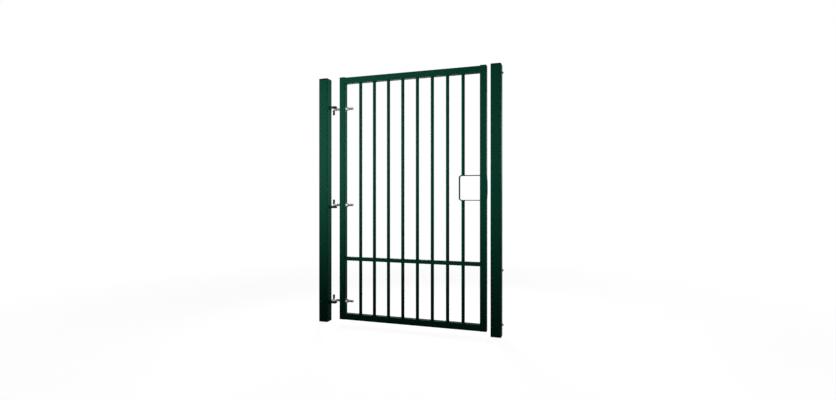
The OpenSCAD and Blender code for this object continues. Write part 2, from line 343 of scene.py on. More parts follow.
def makeZinc(name, look):
    material, tree, shader = newMaterial(name, {"Metallic": 1.0})
    skin = placeGroup(tree, surfaceGrain, -500, 0, zincPlate["grain"])
    skin.inputs["Tone"].default_value = look["colour"]
    skin.inputs["Roughness"].default_value = look["roughness"]
    marks = placeGroup(tree, toolMarks, -500, -300, zincPlate["marks"])
    edges = placeGroup(tree, edgeThinning, -500, 300, zincPlate["edges"])
    cloud = addNoise(tree, -500, 550, zincPlate["cloud"])
    patch = mathNode(tree, "SUBTRACT", -300, 550, cloud.outputs["Fac"], zincPlate["cloudStart"])
    patch = mathNode(tree, "MULTIPLY", -150, 550, patch, zincPlate["cloudGain"], clamp=True)
    patch = mathNode(tree, "SUBTRACT", 0, 550, patch, edges.outputs["Mask"], clamp=True)
    tone = mixColour(tree, 150, 300, patch, skin.outputs["Tone"], look["tarnish"])
    # greasy dirt with painted shade: darker and rougher in thread roots and corners, where ambient shade falls
    greaseAndShade = placeGroup(tree, creviceShadeAndGrime, -300, 800, zincPlate["greaseAndShade"])
    tone = mixColour(tree, 300, 450, greaseAndShade.outputs["Mask"], tone, zincPlate["greaseShadeColour"])
    # painted shade: the colour darkens where the surface faces down
    surface = addNode(tree, "ShaderNodeNewGeometry", -300, 1050)
    upward = addNode(tree, "ShaderNodeSeparateXYZ", -150, 1050)
    tree.links.new(surface.outputs["Normal"], upward.inputs[0])
    under = addNode(tree, "ShaderNodeMapRange", 0, 1050, values=zincPlate["underside"])
    tree.links.new(upward.outputs["Z"], under.inputs["Value"])
    tone = mixColour(tree, 450, 600, under.outputs["Result"], tone, zincPlate["undersideColour"])
    tree.links.new(tone, shader.inputs["Base Color"])
    rough = mathNode(tree, "MULTIPLY", 150, -100, greaseAndShade.outputs["Mask"], zincPlate["greaseRoughness"])
    rough = mathNode(tree, "ADD", 300, -100, rough, skin.outputs["Roughness"], clamp=True)
    tree.links.new(rough, shader.inputs["Roughness"])
    joinBump(tree, shader, marks.outputs["Lines"], zincPlate["bump"])
    return material


finishes = {
    "green_paint": makeCoating("green_powder_coat", greenPaint),
    "black_plastic": makeCoating("black_cap_plastic", capPlastic),
    "black_steel": makeCoating("black_forged_steel", forgedBlack),
    "zinc_steel": makeZinc("bright_zinc", brightZinc),
    "fence_bolt_steel": makeZinc("dull_zinc", dullZinc),
}
slotOfNode = {row["node"]: row["material_slot"] for row in frame["record"]["subparts"]}
for nodeName, cadObject in cadNodes.items():
    for holder in cadObject.material_slots:
        holder.material = finishes[slotOfNode[nodeName]]
print("finishes made:", ", ".join(finishes))


# helpers that build meshes; a piece is a row of rings, joined one to the next

smallRound = 0.3     # how far in the middle of a small round lies, as a share of its radius


def axesAlong(direction):
    # two cross axes and the direction itself; the first cross axis is upright for a level direction
    along = Vector(direction).normalized()
    first = Vector((1, 0, 0)) if abs(along.z) > 0.5 else Vector((0, 0, 1))
    return first, along.cross(first), along


def addRing(bm, centre, axes, points, along):
    first, second, third = axes
    base = Vector(centre) + third * along
    return [bm.verts.new(base + first * a + second * b) for a, b in points]


def joinRings(bm, rings, wrap=False):
    # wrap joins the last ring to the first; otherwise both ends are closed
    count = len(rings[0])
    pairs = list(zip(rings, rings[1:]))
    if wrap:
        pairs.append((rings[-1], rings[0]))
    for near, far in pairs:
        for i in range(count):
            j = (i + 1) % count
            bm.faces.new((near[i], near[j], far[j], far[i]))
    if not wrap:
        bm.faces.new(list(reversed(rings[0])))
        bm.faces.new(rings[-1])


def polar(radius, angle):
    return radius * math.cos(angle), radius * math.sin(angle)


def anglesRound(steps):
    return [2 * math.pi * i / steps for i in range(steps)]


def circlePoints(radius, steps):
    return [polar(radius, angle) for angle in anglesRound(steps)]


def hexReach(flats, angle):
    # from a hexagon's middle to its rim, with a corner at angle 0
    return flats / 2 / math.cos(angle % math.radians(60) - math.radians(30))


def roundedPoints(width, depth, radius, steps=6):
    # a rectangle with round corners, its first side along the first axis
    points = []
    for corner, (sx, sy) in enumerate(((1, 1), (-1, 1), (-1, -1), (1, -1))):
        cx, cy = sx * (width / 2 - radius), sy * (depth / 2 - radius)
        for i in range(steps + 1):
            a, b = polar(radius, math.radians(90 * corner + 90 * i / steps))
            points.append((cx + a, cy + b))
    return points


def quarterRound(radius, steps=4):
    # inset and setback pairs that round an edge of this radius, from the side to the end face
    turns = [math.radians(90 * i / steps) for i in range(steps + 1)]
    return [(radius * (1 - math.cos(turn)), radius * (1 - math.sin(turn))) for turn in turns]


def roundedEnds(start, end, edge, steps=4):
    # inset and distance pairs that round the edges of both end faces
    turn = quarterRound(edge, steps)
    firstLevels = [(inset, start + back) for inset, back in reversed(turn)]
    return firstLevels, [(inset, end - back) for inset, back in turn]


def addTurned(bm, centre, direction, profile, steps, wrap=False):
    # profile is a list of radius and distance along the axis; wrap closes it into a ring shape
    axes = axesAlong(direction)
    rings = [addRing(bm, centre, axes, circlePoints(radius, steps), along) for radius, along in profile]
    joinRings(bm, rings, wrap=wrap)


def addBlock(bm, centre, direction, width, depth, radius, start, end, edge, flash=0.0):
    # a prism with round corners and rounded end edges; flash raises a forging line half way
    axes = axesAlong(direction)
    least = 0.0001       # corner radius
    levels, lastLevels = roundedEnds(start, end, edge)
    if flash:
        middle = (start + end) / 2
        levels += [(0, middle - 2 * flash), (-flash, middle), (0, middle + 2 * flash)]
    rings = []
    for inset, along in levels + lastLevels:
        points = roundedPoints(width - 2 * inset, depth - 2 * inset, max(radius - inset, least))
        rings.append(addRing(bm, centre, axes, points, along))
    joinRings(bm, rings)


# shares of a thread's pitch
threadForm = {"depth": 0.6134, "crestEnd": 0.125, "rootStart": 0.4375, "rootEnd": 0.6875}


def addThread(bm, start, direction, length, radius, pitch, steps, startLead, endLead=None):
    # a helical thread with flat crests and roots; a lead is the width of the chamfer at an end
    axes = axesAlong(direction)
    depth = threadForm["depth"] * pitch
    root = radius - depth
    shape = (
        (0.0, radius), (threadForm["crestEnd"], radius),
        (threadForm["rootStart"], root), (threadForm["rootEnd"], root),
    )
    firstTurn, lastTurn = -1, math.ceil(length / pitch) + 1
    rows = []
    for turn in range(firstTurn, lastTurn + 1):
        for part, size in shape:
            row = []
            for i, angle in enumerate(anglesRound(steps)):
                along = (turn + part + i / steps) * pitch
                reach = min(size, root + max(along, 0) * depth / startLead)
                if endLead:
                    reach = min(reach, root + max(length - along, 0) * depth / endLead)
                if along <= 0 or along >= length:
                    reach = root
                row += addRing(bm, start, axes, [polar(reach, angle)], min(max(along, 0), length))
            rows.append(row)
    perTurn = len(shape)
    for k in range(len(rows) - 1):
        for i in range(steps):
            if i + 1 < steps:
                near, far = rows[k][i + 1], rows[k + 1][i + 1]
            elif k + 1 + perTurn < len(rows):
                near, far = rows[k + perTurn][0], rows[k + 1 + perTurn][0]
            else:
                continue
            bm.faces.new((rows[k][i], near, far, rows[k + 1][i]))


nutForm = {
    "faceShare": 0.95,       # width of the round end face, as a share of the flats
    "coneAngle": 30,
    "boreLead": 0.0008,
    "steps": 72,
}


def addHexNut(bm, centre, direction, flats, thickness, bore, start=0.0):
    # both ends of the hexagon are cut back by a cone; its corners start upright
    axes = axesAlong(direction)
    lead, steps = nutForm["boreLead"], nutForm["steps"]
    faceRadius = nutForm["faceShare"] * flats / 2
    slope = math.tan(math.radians(nutForm["coneAngle"]))
    end = start + thickness

    def roundRing(radius, along):
        return addRing(bm, centre, axes, circlePoints(radius, steps), along)

    def hexRing(along, inward):
        ring = []
        for angle in anglesRound(steps):
            reach = hexReach(flats, angle)
            drop = max(reach - faceRadius, 0) * slope
            ring += addRing(bm, centre, axes, [polar(reach, angle)], along + inward * drop)
        return ring

    rings = [
        roundRing(faceRadius, start), hexRing(start, 1), hexRing(end, -1), roundRing(faceRadius, end),
        roundRing(bore + lead, end), roundRing(bore, end - lead),
        roundRing(bore, start + lead), roundRing(bore + lead, start),
    ]
    joinRings(bm, rings, wrap=True)


def addFrame(bm, centre, direction, outer, inner, start, end, edge):
    # a flat plate with round corners and a hole; outer and inner are width, depth and corner radius
    axes = axesAlong(direction)
    firstLevels, lastLevels = roundedEnds(start, end, edge, steps=3)
    levels = firstLevels + lastLevels
    rings = []
    for inset, along in levels:
        points = roundedPoints(outer[0] - 2 * inset, outer[1] - 2 * inset, outer[2] - inset)
        rings.append(addRing(bm, centre, axes, points, along))
    for inset, along in reversed(levels):
        points = roundedPoints(inner[0] + 2 * inset, inner[1] + 2 * inset, inner[2] + inset)
        rings.append(addRing(bm, centre, axes, points, along))
    joinRings(bm, rings, wrap=True)


def newPiece(name, bm, slotName, body, replaced=(), sharpAngle=32):
    bmesh.ops.remove_doubles(bm, verts=bm.verts[:], dist=2e-6)
    bmesh.ops.holes_fill(bm, edges=bm.edges[:], sides=0)
    bmesh.ops.recalc_face_normals(bm, faces=bm.faces[:])
    mesh = bpy.data.meshes.new(name)
    bm.to_mesh(mesh)
    bm.free()
    mesh.shade_smooth()
    mesh.set_sharp_from_angle(angle=math.radians(sharpAngle))
    mesh.materials.append(finishes[slotName])
    piece = bpy.data.objects.new(name, mesh)
    bpy.context.scene.collection.objects.link(piece)
    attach(piece, body)
    if replaced:
        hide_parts(*replaced)


def middleOf(node):
    low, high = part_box(node)
    return (low + high) / 2


capShape = {
    "edge": 0.0022,          # rounding of the top edge
    "crown": 0.0006,
    "crownFlat": 0.004,      # half the width of the level middle
    "lipHeight": 0.0016,     # thin collar that sits on the tube's rim
    "lipStep": 0.0006,
    "plugFoot": 0.0028,      # how far in the plug stands, at its foot and at the rim
    "plugRim": 0.0026,
    "leastCorner": 0.001,
    "postCorner": 0.006,
    "stileCorner": 0.004,
}


def makeCap(tubeNode, body, cornerRadius):
    node = tubeNode + "_cap"
    low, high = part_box(node)
    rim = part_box(tubeNode)[1].z
    width = high.x - low.x
    centre = ((low.x + high.x) / 2, (low.y + high.y) / 2, 0)
    axes = axesAlong((0, 0, 1))
    step, edge = capShape["lipStep"], min(capShape["edge"], (high.z - rim) / 3)
    lip = rim + capShape["lipHeight"]
    top = high.z - capShape["crown"]
    levels = [
        (capShape["plugFoot"], low.z), (capShape["plugRim"], rim), (0.0, rim), (0.0, lip), (step, lip + step)]
    levels += [(step + inset, top - back) for inset, back in quarterRound(edge, steps=5)]
    levels += [(width / 4, high.z - capShape["crown"] / 3), (width / 2 - capShape["crownFlat"], high.z)]
    bm = bmesh.new()
    rings = []
    for inset, z in levels:
        side, corner = width - 2 * inset, max(cornerRadius - inset, capShape["leastCorner"])
        rings.append(addRing(bm, centre, axes, roundedPoints(side, side, corner), z))
    joinRings(bm, rings)
    newPiece(node + "_moulded", bm, "black_plastic", body, [node])


makeCap("hinge_post", "root", capShape["postCorner"])
makeCap("lock_post", "root", capShape["postCorner"])
makeCap("hinge_stile", "leaf", capShape["stileCorner"])
makeCap("lock_stile", "leaf", capShape["stileCorner"])
print("caps made")


hingePin = {
    "diameter": 0.018,
    "tipChamfer": 0.002,
    "shoulder": 0.0008,       # fillet where the pin stands on its head
    "headThickness": 0.018,
    "headWidth": 0.038,
    "headCorner": 0.009,
    "headEdge": 0.003,
    "headOverPin": 0.020,     # from the pin's axis back to the head's rear
    "intoHead": 0.004,        # how far the pin and the shank run into the head
    "forgingLine": 0.0004,
    "shankDiameter": 0.016,
    "shankPitch": 0.002,
    "shankLead": 0.0012,
}


def makeHingePin(name):
    node = "hinge_pin_" + name
    low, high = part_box(node)
    headZ = middleOf("hinge_boss_" + name).z
    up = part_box("eye_bolt_" + name)[0].z > headZ
    side = 1 if up else -1
    half = hingePin["headThickness"] / 2
    tip = (high.z - headZ) if up else (headZ - low.z)
    radius = hingePin["diameter"] / 2
    bm = bmesh.new()
    headEnd = high.x - pinX
    headStart = -hingePin["headOverPin"]
    addBlock(
        bm, (pinX + (headStart + headEnd) / 2, 0, headZ), (0, 0, 1), headEnd - headStart,
        hingePin["headWidth"], hingePin["headCorner"], -half, half, hingePin["headEdge"],
        flash=hingePin["forgingLine"])
    shoulder, chamfer = hingePin["shoulder"], hingePin["tipChamfer"]
    profile = [
        (radius, half - hingePin["intoHead"]), (radius + shoulder, half),
        (radius + smallRound * shoulder, half + smallRound * shoulder), (radius, half + shoulder),
        (radius, tip - chamfer), (radius - chamfer, tip),
    ]
    addTurned(bm, (pinX, 0, headZ), (0, 0, side), profile, steps=56)
    addThread(
        bm, (low.x, 0, headZ), (1, 0, 0), pinX + headStart + hingePin["intoHead"] - low.x,
        hingePin["shankDiameter"] / 2, hingePin["shankPitch"], steps=36, startLead=hingePin["shankLead"])
    newPiece("hinge_pin_forging_" + name, bm, "black_steel", "root", [node])


bossShape = {"chamfer": 0.0015, "boreRadius": 0.00825, "boreLead": 0.001}


def makeBoss(name):
    node = "hinge_boss_" + name
    low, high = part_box(node)
    radius, length = (high.z - low.z) / 2, high.x - low.x
    cut, bore, lead = bossShape["chamfer"], bossShape["boreRadius"], bossShape["boreLead"]
    profile = [
        (bore, 0), (radius, 0), (radius, length - cut),
        (radius - smallRound * cut, length - smallRound * cut),
        (radius - cut, length), (bore + lead, length), (bore, length - lead),
    ]
    bm = bmesh.new()
    addTurned(bm, (low.x, 0, middleOf(node).z), (1, 0, 0), profile, steps=56, wrap=True)
    newPiece("hinge_boss_turned_" + name, bm, "green_paint", "root", [node])


eyeBolt = {
    "eyeEdge": 0.002,
    "boreRadius": 0.00908,
    "boreLead": 0.001,
    "neckStart": 0.011,        # from the pin's axis
    "neckEnd": 0.025,
    "neckWidth": 0.0245,
    "neckTall": 0.995,         # share of the eye's height
    "neckSquareness": 1.6,     # at its start; 0 is round
    "neckShares": (0.0, 0.2, 0.45, 0.7, 0.9, 1.0),
    "threadStart": 0.030,
    "threadOverlap": 0.0005,
    "threadPitch": 0.0025,
    "startChamfer": 0.0015,
    "endChamfer": 0.002,
}


def makeEyeBolt(name):
    node = "eye_bolt_" + name
    low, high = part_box(node)
    z = (low.z + high.z) / 2
    half = (high.z - low.z) / 2
    outer = (high.y - low.y) / 2
    bore, lead = eyeBolt["boreRadius"], eyeBolt["boreLead"]
    bm = bmesh.new()
    lowLevels, highLevels = roundedEnds(-half, half, eyeBolt["eyeEdge"])
    profile = [(outer - inset, along) for inset, along in lowLevels + highLevels]
    profile += [(bore + lead, half), (bore, half - lead), (bore, lead - half), (bore + lead, -half)]
    addTurned(bm, (pinX, 0, z), (0, 0, 1), profile, steps=72, wrap=True)
    # the neck runs from a squarish section in the eye to the round rod
    axes = axesAlong((1, 0, 0))
    steps = 40
    rings = []
    for share in eyeBolt["neckShares"]:
        ease = share * share * (3 - 2 * share)
        along = eyeBolt["neckStart"] + share * (eyeBolt["neckEnd"] - eyeBolt["neckStart"])
        wide = (1 - ease) * eyeBolt["neckWidth"] / 2 + ease * half
        power = 2 + eyeBolt["neckSquareness"] * (1 - ease)
        points = []
        for angle in anglesRound(steps):
            c, s = math.cos(angle), math.sin(angle)
            reach = (abs(c) ** power + abs(s) ** power) ** (-1 / power)
            points.append((half * eyeBolt["neckTall"] * reach * c, wide * reach * s))
        rings.append(addRing(bm, (pinX, 0, z), axes, points, along))
    rings.append(addRing(bm, (pinX, 0, z), axes, circlePoints(half, steps), eyeBolt["threadStart"]))
    joinRings(bm, rings)
    threadX = pinX + eyeBolt["threadStart"] - eyeBolt["threadOverlap"]
    addThread(
        bm, (threadX, 0, z), (1, 0, 0), high.x - threadX, half, eyeBolt["threadPitch"], steps=44,
        startLead=eyeBolt["startChamfer"], endLead=eyeBolt["endChamfer"])
    newPiece("eye_bolt_threaded_" + name, bm, "zinc_steel", "leaf", [node])


washerShape = {"edge": 0.0007, "boreRadius": 0.01025, "boreLead": 0.0004}


def makeWasher(name):
    node = "hinge_washer_" + name
    low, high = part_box(node)
    outer, thick = (high.z - low.z) / 2, high.x - low.x
    bore, lead = washerShape["boreRadius"], washerShape["boreLead"]
    firstLevels, lastLevels = roundedEnds(0, thick, washerShape["edge"], steps=3)
    profile = [(outer - inset, along) for inset, along in firstLevels + lastLevels]
    profile += [(bore + lead, thick), (bore, thick - lead), (bore, 0)]
    bm = bmesh.new()
    addTurned(bm, (low.x, 0, middleOf(node).z), (1, 0, 0), profile, steps=64, wrap=True)
    newPiece("washer_" + name, bm, "zinc_steel", "leaf", [node])


def makeNut(name):
    node = "hinge_nut_" + name
    low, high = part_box(node)
    bm = bmesh.new()
    addHexNut(
        bm, (low.x, 0, middleOf(node).z), (1, 0, 0), high.y - low.y, high.x - low.x,
        washerShape["boreRadius"])
    newPiece("nut_" + name, bm, "zinc_steel", "leaf", [node])


for hingeName in hingeNames:
    makeHingePin(hingeName)
    makeBoss(hingeName)
    makeEyeBolt(hingeName)
    makeWasher(hingeName)
    makeNut(hingeName)
print("hinges made")


# the bolts on the posts' outer faces that hold the fence
fenceBolt = {
    "heights": (0.090, 0.504, 2.002),
    "flats": 0.017,
    "nutHeight": 0.008,
    "threadDiameter": 0.010,
    "threadPitch": 0.0015,
    "startChamfer": 0.0008,
    "endChamfer": 0.001,
    "clearance": 0.0001,      # between the thread and what is on it
    "flangeThickness": 0.002,
    "flangeOver": 0.004,      # how much wider than the flats
    "flangeRound": 0.0003,
    "flangeSide": 0.0011,     # top of its upright side
    "bevelIn": 0.0006,
    "bevelTop": 0.0015,
    "intoNut": 0.0003,        # how far the flange runs into the nut
}


def makeFenceBolts(node, faceX, side):
    low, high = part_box(node)
    reach = high.x - faceX if side > 0 else faceX - low.x
    inside = faceX - low.x if side > 0 else high.x - faceX
    radius = fenceBolt["threadDiameter"] / 2
    bore = radius + fenceBolt["clearance"]
    flange = (fenceBolt["flats"] + fenceBolt["flangeOver"]) / 2
    thick, edge = fenceBolt["flangeThickness"], fenceBolt["flangeRound"]
    profile = [
        (bore, 0), (flange - edge, 0), (flange, edge), (flange, fenceBolt["flangeSide"]),
        (flange - fenceBolt["bevelIn"], fenceBolt["bevelTop"]),
        (nutForm["faceShare"] * fenceBolt["flats"] / 2, thick + fenceBolt["intoNut"]),
        (bore, thick + fenceBolt["intoNut"]),
    ]
    bm = bmesh.new()
    for z in fenceBolt["heights"]:
        addTurned(bm, (faceX, 0, z), (side, 0, 0), profile, steps=60, wrap=True)
        addHexNut(
            bm, (faceX, 0, z), (side, 0, 0), fenceBolt["flats"], fenceBolt["nutHeight"], bore, start=thick)
        addThread(
            bm, (faceX - side * inside, 0, z), (side, 0, 0), inside + reach, radius,
            fenceBolt["threadPitch"], steps=32, startLead=fenceBolt["startChamfer"],
            endLead=fenceBolt["endChamfer"])
    newPiece(node + "_threaded", bm, "fence_bolt_steel", "root", [node])


makeFenceBolts("fence_bolts_hinge_side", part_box("hinge_post")[0].x, -1)
makeFenceBolts("fence_bolts_lock_side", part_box("lock_post")[1].x, 1)
print("fence bolts made")


recessStrip = {
    "thickness": 0.006,
    "bendRadius": 0.020,     # outside
    "edge": 0.0009,
    "straight": 0.06,        # the stretch of each arm that meets a bend
    "bendSteps": 14,
}


def makeRecess():
    low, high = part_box("lock_recess")
    depth, thick = high.y - low.y, recessStrip["thickness"]
    half, middle = thick / 2, recessStrip["bendRadius"] - thick / 2
    left, top, bottom = low.x + half, high.z - half, low.z + half
    armX = left + middle + recessStrip["straight"]
    path = [((high.x, top), 0), ((armX, top), 0)]
    for turn, centreZ in ((90, top - middle), (180, bottom + middle)):
        for i in range(recessStrip["bendSteps"] + 1):
            angle = math.radians(turn + 90 * i / recessStrip["bendSteps"])
            place = (left + middle + middle * math.cos(angle), centreZ + middle * math.sin(angle))
            path.append((place, angle - math.radians(90)))
    path += [((armX, bottom), math.radians(180)), ((high.x, bottom), math.radians(180))]
    section = roundedPoints(depth, thick, recessStrip["edge"], steps=3)
    bm = bmesh.new()
    rings = []
    for (x, z), lean in path:
        outward = Vector((-math.sin(lean), 0, math.cos(lean)))
        rings.append(addRing(bm, (x, 0, z), (Vector((0, 1, 0)), outward, Vector()), section, 0))
    joinRings(bm, rings)
    newPiece("hand_recess_strip", bm, "green_paint", "leaf", ["lock_recess"])


lockPlate = {
    "edge": 0.0005,
    "holeWidth": 0.012,
    "holeHeight": 0.046,
    "holeCorner": 0.003,
    "endFlat": 0.00001,         # what is left straight of the round ends
    "boltGap": 0.0006,
    "boltEdge": 0.0007,
    "boltBelowGuide": 0.0035,   # drawn back into its slot
}

plateScrew = {
    "radius": 0.0048,
    "height": 0.0017,
    "sunk": 0.001,
    "rimShare": 0.2,         # height of the rim, as a share of the head's
    "flatShare": 0.5,        # radius of the flat top, as a share of the head's
    "socketFlats": 0.003,
    "socketFloor": 0.3,      # share of the head's height
    "domeSteps": 6,
    "steps": 36,
}


def addScrewHead(bm, centre, direction):
    # a low domed head with a hexagon socket
    axes = axesAlong(direction)
    steps, domeSteps = plateScrew["steps"], plateScrew["domeSteps"]
    radius, height = plateScrew["radius"], plateScrew["height"]
    flat, rim = plateScrew["flatShare"], plateScrew["rimShare"]
    rings = [addRing(bm, centre, axes, circlePoints(radius, steps), -plateScrew["sunk"])]
    for i in range(domeSteps):
        rise = math.radians(90 * i / domeSteps)
        size = radius * (flat + (1 - flat) * math.cos(rise))
        along = height * (rim + (1 - rim) * math.sin(rise))
        rings.append(addRing(bm, centre, axes, circlePoints(size, steps), along))
    hexagon = [polar(hexReach(plateScrew["socketFlats"], angle), angle) for angle in anglesRound(steps)]
    rings.append(addRing(bm, centre, axes, hexagon, height))
    rings.append(addRing(bm, centre, axes, hexagon, height * plateScrew["socketFloor"]))
    joinRings(bm, rings)


def makeLockPlates():
    hole = (lockPlate["holeHeight"], lockPlate["holeWidth"], lockPlate["holeCorner"])
    for node, piece in (("lock_face_plate", "face_plate_drilled"), ("lock_bolt_guide", "bolt_guide_slotted")):
        low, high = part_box(node)
        tall, wide = high.z - low.z, high.y - low.y
        bm = bmesh.new()
        addFrame(
            bm, (0, 0, middleOf(node).z), (1, 0, 0), (tall, wide, wide / 2 - lockPlate["endFlat"]), hole,
            low.x, high.x, lockPlate["edge"])
        newPiece(piece, bm, "green_paint", "leaf", [node])
    plate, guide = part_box("lock_face_plate"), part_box("lock_bolt_guide")
    lockZ = middleOf("lock_face_plate").z
    gap = 2 * lockPlate["boltGap"]
    bm = bmesh.new()
    addBlock(
        bm, (0, 0, lockZ), (1, 0, 0), hole[0] - gap, hole[1] - gap, hole[2], plate[0].x,
        guide[1].x - lockPlate["boltBelowGuide"], lockPlate["boltEdge"])
    newPiece("lock_bolt_end", bm, "zinc_steel", "leaf")
    screwZ = (plate[1].z + guide[1].z) / 2 - lockZ
    bm = bmesh.new()
    for side in (-1, 1):
        addScrewHead(bm, (plate[1].x, 0, lockZ + side * screwZ), (1, 0, 0))
    newPiece("face_plate_screws", bm, "zinc_steel", "leaf")


makeRecess()
makeLockPlates()
print("hand recess and lock plate made")


weldBead = {
    "leg": 0.0034,
    "crossingLeg": 0.0026,   # where the bars cross the mid rail
    "flatLeg": 0.0030,       # on the strip and the mid rail's front and back
    "ripple": 0.0040,        # spacing of the ripples
    "rippleDepth": 0.16,     # share of the leg
    "drift": 0.05,           # slow change of size, as a share of the leg
    "driftWaves": 3,
    "endSize": 0.45,         # share of the leg at an open end
    "sunk": 0.0004,
    "fullness": 1.35,        # 1 is a flat fillet and 2 a quarter round
    "spacing": 0.001,        # between the rings of a straight bead
    "profileSteps": 4,
    "ringSteps": 96,
    "phase": 9,              # keeps the beads of one bar from looking alike
    "sharpAngle": 60,
}


def addBead(bm, path, leg=weldBead["leg"], closed=False, wobble=0.0):
    # path is a list of corner point and the two directions that the legs run along
    sunk, power, endSize = weldBead["sunk"], weldBead["fullness"], weldBead["endSize"]
    lengths = [0.0]
    for near, far in zip(path, path[1:]):
        lengths.append(lengths[-1] + (far[0] - near[0]).length)
    total = lengths[-1]
    if closed:
        total += (path[0][0] - path[-1][0]).length
    turns = max(round(total / weldBead["ripple"]), 1)
    rings = []
    for (corner, first, second), length in zip(path, lengths):
        wave = abs(math.sin(math.pi * turns * length / total))
        drift = math.sin(2 * math.pi * weldBead["driftWaves"] * length / total + wobble)
        size = leg * (1 + weldBead["drift"] * drift - weldBead["rippleDepth"] * (1 - wave)) + sunk
        if not closed:
            size *= min(1, endSize + (1 - endSize) * min(length, total - length) / leg)
        base = corner - (first + second) * sunk
        ring = [bm.verts.new(base)]
        for i in range(weldBead["profileSteps"] + 1):
            angle = math.radians(90 * i / weldBead["profileSteps"])
            c, s = math.cos(angle), math.sin(angle)
            reach = size * (c ** power + s ** power) ** (-1 / power)
            ring.append(bm.verts.new(base + first * (reach * c) + second * (reach * s)))
        rings.append(ring)
    joinRings(bm, rings, wrap=closed)


def newWeld(name, bm, body="leaf"):
    newPiece(name, bm, "green_paint", body, sharpAngle=weldBead["sharpAngle"])


def ringPath(centre, axis, radius):
    # the corner where a round bar meets a face; the axis points away from the face
    first, second, along = axesAlong(axis)
    path = []
    for angle in anglesRound(weldBead["ringSteps"]):
        outward = first * math.cos(angle) + second * math.sin(angle)
        path.append((Vector(centre) + outward * radius, outward, along))
    return path


def linePath(start, end, first, second):
    start, end = Vector(start), Vector(end)
    count = max(int((end - start).length / weldBead["spacing"]), 4)
    return [(start.lerp(end, i / count), Vector(first), Vector(second)) for i in range(count + 1)]


def makeBarWelds():
    low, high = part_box("bar_1")
    barRadius = (high - low).x / 2
    phase = weldBead["phase"]
    ends, crossings = bmesh.new(), bmesh.new()
    for index in range(1, 9):
        names = ["bar_8_upper", "bar_8_lower"] if index == 8 else ["bar_%d" % index]
        x = middleOf(names[0]).x
        for name in names:
            low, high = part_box(name)
            for z, up, turn in ((low.z, 1, 0), (high.z, -1, phase)):
                addBead(ends, ringPath((x, 0, z), (0, 0, up), barRadius), closed=True, wobble=index + turn)
        under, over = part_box("mid_rail")
        for z, up, turn in ((over.z, 1, 2 * phase), (under.z, -1, 3 * phase)):
            addBead(
                crossings, ringPath((x, 0, z), (0, 0, up), barRadius), weldBead["crossingLeg"], closed=True,
                wobble=index + turn)
    newWeld("bar_end_welds", ends)
    newWeld("bar_crossing_welds", crossings)


# the seams on the front and back fill the stile's round corner and are ground almost flush
dressedSeam = {
    "halfWidth": 0.0042,
    "rise": 0.0012,
    "crown": 0.0004,
    "ripple": 0.0002,
    "endShare": 0.3,         # width at its ends, as a share of the rest
    "endRings": 3,
    "crownPoints": 5,
    "towardsStile": 0.0012,
    "fromMiddle": 0.0237,    # from the leaf's middle plane
    "endGap": 0.005,
}


def addSeam(bm, start, end, across, outward):
    # a flat strip with a slight crown and soft ripples
    start, end, across, outward = Vector(start), Vector(end), Vector(across), Vector(outward)
    count = int((end - start).length / weldBead["spacing"])
    ripples = weldBead["ripple"] / weldBead["spacing"]
    endShare, crownPoints = dressedSeam["endShare"], dressedSeam["crownPoints"]
    rings = []
    for i in range(count + 1):
        place = start.lerp(end, i / count)
        wave = abs(math.sin(math.pi * i / ripples))
        taper = min(1, endShare + (1 - endShare) * min(i, count - i) / dressedSeam["endRings"])
        reach = dressedSeam["halfWidth"] * taper
        ring = [place - across * reach, place + across * reach]
        for k in range(crownPoints):
            angle = math.radians(180 * (k + 0.5) / crownPoints)
            crown = (dressedSeam["crown"] + dressedSeam["ripple"] * wave) * math.sin(angle)
            ring.append(place + across * reach * math.cos(angle) + outward * (dressedSeam["rise"] + crown))
        rings.append([bm.verts.new(point) for point in ring])
    joinRings(bm, rings)


# how far the beads on each stop short of the corners
weldGaps = {"frameRail": 0.0045, "midRail": 0.003, "recess": 0.001}


def makeRailWelds():
    leftX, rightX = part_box("top_rail")[0].x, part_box("top_rail")[1].x
    bm = bmesh.new()
    for name, inner in (("top_rail", -1), ("bottom_rail", 1)):
        low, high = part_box(name)
        cornerZ = low.z if inner < 0 else high.z
        deep = high.y - weldGaps["frameRail"]
        for x, away in ((leftX, 1), (rightX, -1)):
            addBead(bm, linePath((x, -deep, cornerZ), (x, deep, cornerZ), (away, 0, 0), (0, 0, inner)))
            for side in (-1, 1):
                seamX, seamY = x - away * dressedSeam["towardsStile"], side * dressedSeam["fromMiddle"]
                start = (seamX, seamY, low.z + dressedSeam["endGap"])
                end = (seamX, seamY, high.z - dressedSeam["endGap"])
                addSeam(bm, start, end, (1, 0, 0), (0, side, 0))
    newWeld("rail_welds", bm)
    bm = bmesh.new()
    low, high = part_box("mid_rail")
    gap = weldGaps["midRail"]
    for x, away in ((low.x, 1), (high.x, -1)):
        for z, up in ((low.z, -1), (high.z, 1)):
            addBead(bm, linePath((x, low.y + gap, z), (x, high.y - gap, z), (away, 0, 0), (0, 0, up)))
        for y, out in ((low.y, -1), (high.y, 1)):
            addBead(
                bm, linePath((x, y, low.z + gap), (x, y, high.z - gap), (away, 0, 0), (0, out, 0)),
                weldBead["flatLeg"])
    newWeld("mid_rail_welds", bm)


def makeRecessWelds():
    low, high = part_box("lock_recess")
    thick, gap = recessStrip["thickness"], weldGaps["recess"]
    bm = bmesh.new()
    for z, up in ((high.z, 1), (high.z - thick, -1), (low.z, -1), (low.z + thick, 1)):
        addBead(
            bm, linePath((high.x, low.y + gap, z), (high.x, high.y - gap, z), (-1, 0, 0), (0, 0, up)),
            weldBead["flatLeg"])
    newWeld("recess_welds", bm)


def makeBossWelds():
    bm = bmesh.new()
    for order, name in enumerate(hingeNames):
        low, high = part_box("hinge_boss_" + name)
        path = ringPath((low.x, 0, (low.z + high.z) / 2), (1, 0, 0), (high.z - low.z) / 2)
        addBead(bm, path, closed=True, wobble=order)
    newWeld("boss_welds", bm, "root")


makeBarWelds()
makeRailWelds()
makeRecessWelds()
makeBossWelds()
print("welds made")


